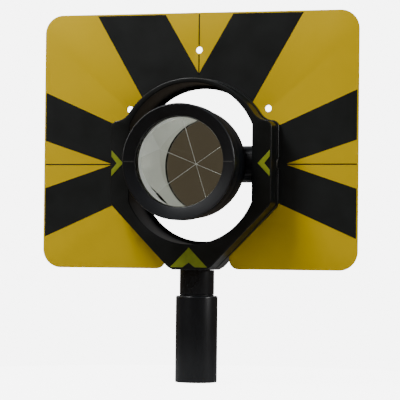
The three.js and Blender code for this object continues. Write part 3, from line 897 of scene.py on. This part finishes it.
def add_bezel(anodised):
    radius = BEZEL_HIGH.x
    front, back = BEZEL_LOW.y, BEZEL_HIGH.y
    skirt = radius - BEZEL_WALL
    lip_back = front + BEZEL_LIP
    rim = radius - BEZEL_RIM
    corners = [
        (APERTURE_RADIUS, front + BEZEL_DISH, 0.25), (rim, front, 0.25), (radius, front + 0.75, 0.25),
        (radius, back, 0.35), (skirt, back, 0.1), (skirt, lip_back, 0), (APERTURE_RADIUS, lip_back, 0),
    ]
    piece = turned("bezel_ring", corners, "Y", MIDDLE, [anodised], 160)
    finish_piece(piece, "canister", "black_anodised", "front_bezel")

    paint = paint_material("index_paint", (0.055, 0.055, 0.052), (0.08, 0.08, 0.077), 0.5)
    slope = math.atan2(BEZEL_DISH, rim - APERTURE_RADIUS)
    for name, sign in SIDES:
        node = f"index_mark_{name}"
        low, high = node_box(node)
        half = (high.z - low.z) / 2
        reach = (high.x - low.x) / 2 / math.cos(slope) - half
        outline = arc(-reach, 0, half, math.pi / 2, 1.5 * math.pi, 6)
        outline += arc(reach, 0, half, -math.pi / 2, math.pi / 2, 6)
        line = lambda inset, points=outline: points
        levels = [(0, -MARK_DEPTH / 2), (0, MARK_DEPTH / 2)]
        mark = plate_piece(f"filled_{node}", [(line, levels)], [paint])
        place = Vector(((low.x + high.x) / 2, (low.y + high.y) / 2, TILT_AXIS)) * MM
        mark.data.transform(Matrix.Translation(place) @ Matrix.Rotation(-sign * slope, 4, "Z"))
        finish_piece(mark, "canister", "index_paint", node)


def add_housing(anodised):
    front, back = HOUSING_LOW.y, HOUSING_HIGH.y
    neck = BEZEL_HIGH.x - BEZEL_WALL - BEZEL_CLEARANCE
    step = BEZEL_HIGH.y + BEZEL_CLEARANCE
    seal_low, seal_high = node_box("front_seal")
    groove_front, groove_back = seal_low.y - GROOVE_CLEARANCE, seal_high.y + GROOVE_CLEARANCE
    groove, bore = seal_high.x + 0.3, GLASS_HIGH.x + BORE_CLEARANCE
    outside = [
        (bore, front, 0.2), (neck, front, 0.2), (neck, step, 0), (BARREL_RADIUS, step, 0.4),
        (BARREL_RADIUS, BARREL_SHOULDER, 2.0), (TAPER_RADIUS, 0, 3.0),
        (TAIL_RADIUS, back - TAIL_LENGTH, 1.5), (TAIL_RADIUS, back, 0.5),
    ]
    inside = [
        (CAP_BORE_RADIUS, back, 0.2), (CAP_BORE_RADIUS, back - 6, 0), (CAP_BORE_RADIUS + 2, back - 7, 0),
        (*CAVITY_BEND, 0), (bore, CAVITY_FRONT, 0), (bore, groove_back, 0), (groove, groove_back, 0),
        (groove, groove_front, 0), (bore, groove_front, 0),
    ]
    piece = turned("turned_housing", outside + inside, "Y", MIDDLE, [anodised], 160)
    bosses, bores = [], []
    for _, sign in SIDES:
        face = sign * HOUSING_HIGH.x
        boss = [
            (0, sign * (TRUNNION_ROOT + 2), 0), (TRUNNION_RADIUS, sign * TRUNNION_ROOT, 0),
            (TRUNNION_RADIUS, face, 0.6), (0, face, 0),
        ]
        bosses.append(turned("boss", boss, "X", MIDDLE, [anodised], 96))
        span = sorted((sign * TRUNNION_BORE_END, face + sign))
        bores.append(rod(TRUNNION_BORE_RADIUS, *span, "X", MIDDLE))
    combine(piece, "UNION", bosses)
    for node in CAP_SCREWS:
        bottom = back - CAP_SCREW_BORE_DEPTH
        bores.append(rod(CAP_SCREW_BORE_RADIUS, bottom, back + 1, "Y", screw_centre(node), 24))
    combine(piece, "DIFFERENCE", bores)
    piece.data.materials.append(dull_black_material())
    for face in piece.data.polygons:
        if abs(face.center.x) > BARREL_RADIUS * MM:
            face.material_index = 1
    finish_piece(piece, "canister", "black_anodised", "canister_housing")


def add_rear_cap(anodised):
    back = CAP_HIGH.y
    flange = HOUSING_HIGH.y + 0.1
    radius = CAP_HIGH.x
    floor = back - CAP_RECESS_DEPTH
    corners = [
        (0, CAP_LOW.y, 0), (CAP_PLUG_RADIUS, CAP_LOW.y, 0.3), (CAP_PLUG_RADIUS, flange, 0),
        (radius, flange, 0.3), (radius, back, 1.5), (CAP_RECESS_RADIUS + 1, back, 0.4),
        (CAP_RECESS_RADIUS, floor, 0.6), (0, floor, 0),
    ]
    piece = turned("turned_rear_cap", corners, "Y", MIDDLE, [anodised], 128)
    seats = []
    for node in CAP_SCREWS:
        centre = screw_centre(node)
        seats.append(rod(CAP_SCREW_SEAT_RADIUS, floor, back + 1, "Y", centre, 32))
        seats.append(rod(CAP_SCREW_BORE_RADIUS, CAP_LOW.y - 1, back, "Y", centre, 24))
    combine(piece, "DIFFERENCE", seats)
    finish_piece(piece, "canister", "black_anodised", "rear_cap")


def add_glass():
    """A glass rod cut to a corner of a cube behind, with its three edges bevelled."""
    radius = GLASS_HIGH.x
    front, apex = GLASS_LOW.y, GLASS_HIGH.y
    bm = bmesh.new()
    bmesh.ops.create_cube(bm, size=0.2)
    bmesh.ops.translate(bm, vec=(0.1, 0.1, 0.1), verts=bm.verts)
    tip_edges = [e for e in bm.edges if any(v.co.length < 1e-6 for v in e.verts)]
    bevel = GLASS_EDGE_BEVEL * MM
    bmesh.ops.bevel(bm, geom=tip_edges, offset=bevel, segments=1, affect="EDGES", profile=0.5)
    stand = Vector((1, 1, 1)).rotation_difference(Vector((0, -1, 0)))
    edge = stand @ Vector((1, 0, 0))
    turn = math.radians(GLASS_EDGE_ANGLE) - math.atan2(edge.z, edge.x)
    place = Matrix.Translation((0, apex * MM, TILT_AXIS * MM))
    spin = Matrix.Rotation(-turn, 4, "Y")
    bmesh.ops.transform(bm, matrix=place @ spin @ stand.to_matrix().to_4x4(), verts=bm.verts)
    corner = to_object("corner", bm, [])
    band_back = front + EDGE_BAND
    corners = [
        (0, front, 0), (radius, front, GLASS_FRONT_BEVEL), (radius, band_back, 0),
        (radius, apex + 2, 0), (0, apex + 2, 0),
    ]
    band = edge_black_material()
    coats = [glass_material(), silver_material(), frosted_glowing_material(), band]
    clear, silver, frosted_glow, black = range(len(coats))
    piece = turned("ground_prism", corners, "Y", MIDDLE, coats, 192)
    combine(piece, "INTERSECT", [corner])
    ground_lean = 1 / math.sqrt(3)
    for face in piece.data.polygons:
        lean = face.normal.y
        if lean < -0.2:
            face.material_index = clear
        elif abs(lean - ground_lean) < 0.05:
            face.material_index = silver
        elif face.center.y < band_back * MM and lean > -0.1:
            face.material_index = black
        else:
            face.material_index = frosted_glow
    finish_piece(piece, "canister", "prism_glass", "prism_glass")


def add_seal():
    low, high = node_box("front_seal")
    section = arc(high.x - SEAL_WIRE_RADIUS, (low.y + high.y) / 2, SEAL_WIRE_RADIUS, 0, 2 * math.pi, 16)
    corners = [(radius, along, 0) for radius, along in section[:-1]]
    piece = turned("seal_ring", corners, "Y", MIDDLE, [rubber_material()], 128)
    finish_piece(piece, "canister", "black_rubber", "front_seal")


# ------------------------------------------------------------------ pole adapter
STUD_RADIUS = 7.94
THREAD_PITCH = 25.4 / 11
THREAD_DEPTH = 0.9
INSERT_SEAT_RADIUS = 11.3
INSERT_SEAT_TOP = 21
STUD_BORE_TOP = 23
SHAFT_BORE_RADIUS = 10.1
BUSH_SEAT_RADIUS = 10.9
BUSH_SEAT_LOW = 35.9
SHAFT_RADIUS = 8
SHAFT_SCREW_RADIUS = 2.3
SHAFT_SCREW_DEPTH = 14
SWIVEL_GAP = 0.8
NECK_RADIUS = 12.7
NECK_TOP = 82.3
COLLAR_RADIUS = 10.5  # the collar over the neck that the frame's halves grip
COLLAR_LOW, COLLAR_HIGH = 86, 89


def add_pole_adapter():
    anodised = anodised_material("anodised_pole", "Z")
    outer, length = SLEEVE_HIGH.x, SLEEVE_HIGH.z
    corners = [
        (INSERT_SEAT_RADIUS, 0, 0.2), (outer, 0, 0.8), (outer, length, 1.3),
        (BUSH_SEAT_RADIUS, length, 0.3), (BUSH_SEAT_RADIUS, BUSH_SEAT_LOW, 0),
        (SHAFT_BORE_RADIUS, BUSH_SEAT_LOW, 0), (SHAFT_BORE_RADIUS, STUD_BORE_TOP, 0),
        (STUD_RADIUS, STUD_BORE_TOP, 0), (STUD_RADIUS, INSERT_SEAT_TOP, 0),
        (INSERT_SEAT_RADIUS, INSERT_SEAT_TOP, 0),
    ]
    sleeve = turned("turned_sleeve", corners, "Z", (0, 0, 0), [anodised], 128)
    finish_piece(sleeve, "sleeve", "black_anodised", "pole_sleeve")

    low, high = SPINDLE_LOW.z, SPINDLE_HIGH.z
    neck_low = SLEEVE_HIGH.z + SWIVEL_GAP
    neck = [
        (0, low, 0), (SHAFT_RADIUS, low, 0.5), (SHAFT_RADIUS, neck_low, 0), (NECK_RADIUS, neck_low, 0.6),
        (NECK_RADIUS, NECK_TOP, 0), (SHAFT_RADIUS, NECK_TOP, 0), (SHAFT_RADIUS, COLLAR_LOW, 0),
        (COLLAR_RADIUS, COLLAR_LOW, 0.3), (COLLAR_RADIUS, COLLAR_HIGH, 0.3), (SHAFT_RADIUS, COLLAR_HIGH, 0),
        (SHAFT_RADIUS, high, 0.5), (0, high, 0),
    ]
    spindle = turned("turned_neck", neck, "Z", (0, 0, 0), [anodised], 128)
    screw_hole = rod(SHAFT_SCREW_RADIUS, low - 1, low + SHAFT_SCREW_DEPTH, "Z", (0, 0, 0), 32)
    combine(spindle, "DIFFERENCE", [screw_hole])
    finish_piece(spindle, "holder", "black_anodised", "neck_spindle")

    washer_low, washer_high = node_box("thrust_washer")
    bore = SHAFT_RADIUS + 0.3
    washer = [
        (bore, washer_low.z, 0.1), (washer_high.x, washer_low.z, 0.15),
        (washer_high.x, washer_high.z, 0.15), (bore, washer_high.z, 0.1),
    ]
    piece = turned("thrust_ring", washer, "Z", (0, 0, 0), [black_acetal_material()], 96)
    finish_piece(piece, "sleeve", "black_acetal", "thrust_washer")
    add_thread_insert()


def add_thread_insert():
    """A brass bush whose bore carries a real helical thread."""
    bottom, top = INSERT_LOW.z, INSERT_HIGH.z
    outer = INSERT_HIGH.x
    steps, rows = 64, 110
    runout, chamfer = 1.5, 0.4
    bm = bmesh.new()
    columns = []
    for i in range(steps):
        angle = 2 * math.pi * i / steps
        column = []
        for j in range(rows + 1):
            z = bottom + (top - bottom) * j / rows
            phase = (z / THREAD_PITCH - i / steps) % 1
            fade = min(1, (z - bottom) / runout, (top - z) / runout)
            radius = STUD_RADIUS + 0.05 + THREAD_DEPTH * (1 - abs(2 * phase - 1)) * max(0, fade)
            column.append((radius, z))
        column += [(outer - chamfer, top), (outer, top - chamfer)]
        column += [(outer, bottom + chamfer), (outer - chamfer, bottom)]
        points = [Vector(turned_point("Z", r, angle, z)) * MM for r, z in column]
        columns.append([bm.verts.new(point) for point in points])
    for i, column in enumerate(columns):
        following = columns[(i + 1) % steps]
        for j in range(len(column)):
            k = (j + 1) % len(column)
            bm.faces.new((column[j], column[k], following[k], following[j]))
    insert = to_object("threaded_bush", bm, [brass_material()])
    finish_piece(insert, "sleeve", "brass_insert", "thread_insert")


# ------------------------------------------------------------------ hidden pieces
def add_tilt_washers():
    acetal = black_acetal_material()
    for name, _ in SIDES:
        node = f"tilt_washer_{name}"
        low, high = node_box(node)
        bore = TRUNNION_BORE_RADIUS
        corners = [(bore, low.x, 0.1), (high.y, low.x, 0.3), (high.y, high.x, 0.3), (bore, high.x, 0.1)]
        piece = turned(f"turned_{node}", corners, "X", MIDDLE, [acetal], 64)
        finish_piece(piece, "canister", "black_acetal", node)


def paint_inner_nodes():
    """The pieces inside keep their CAD shape and only get their material."""
    acetal, steel, rubber = acetal_material(), steel_material(), rubber_material()
    anodised = anodised_material("anodised_seat", "Y")
    coats = {
        "swivel_bush_upper": acetal,
        "swivel_bush_lower": acetal,
        "pivot_bush_left": acetal,
        "pivot_bush_right": acetal,
        "spindle_washer": steel,
        "spindle_screw": steel,
        "prism_cushion": rubber,
        "prism_seat": anodised,
    }
    for node, material in coats.items():
        mesh = frame["nodes"][node].data
        mesh.materials.clear()
        mesh.materials.append(material)


add_camera()
add_studio()
add_target()
add_frame()
add_chevrons()
add_screws()
anodised_canister = anodised_material("anodised_canister", "Y")
add_bezel(anodised_canister)
add_housing(anodised_canister)
add_rear_cap(anodised_canister)
add_glass()
add_seal()
add_tilt_washers()
add_pole_adapter()
paint_inner_nodes()
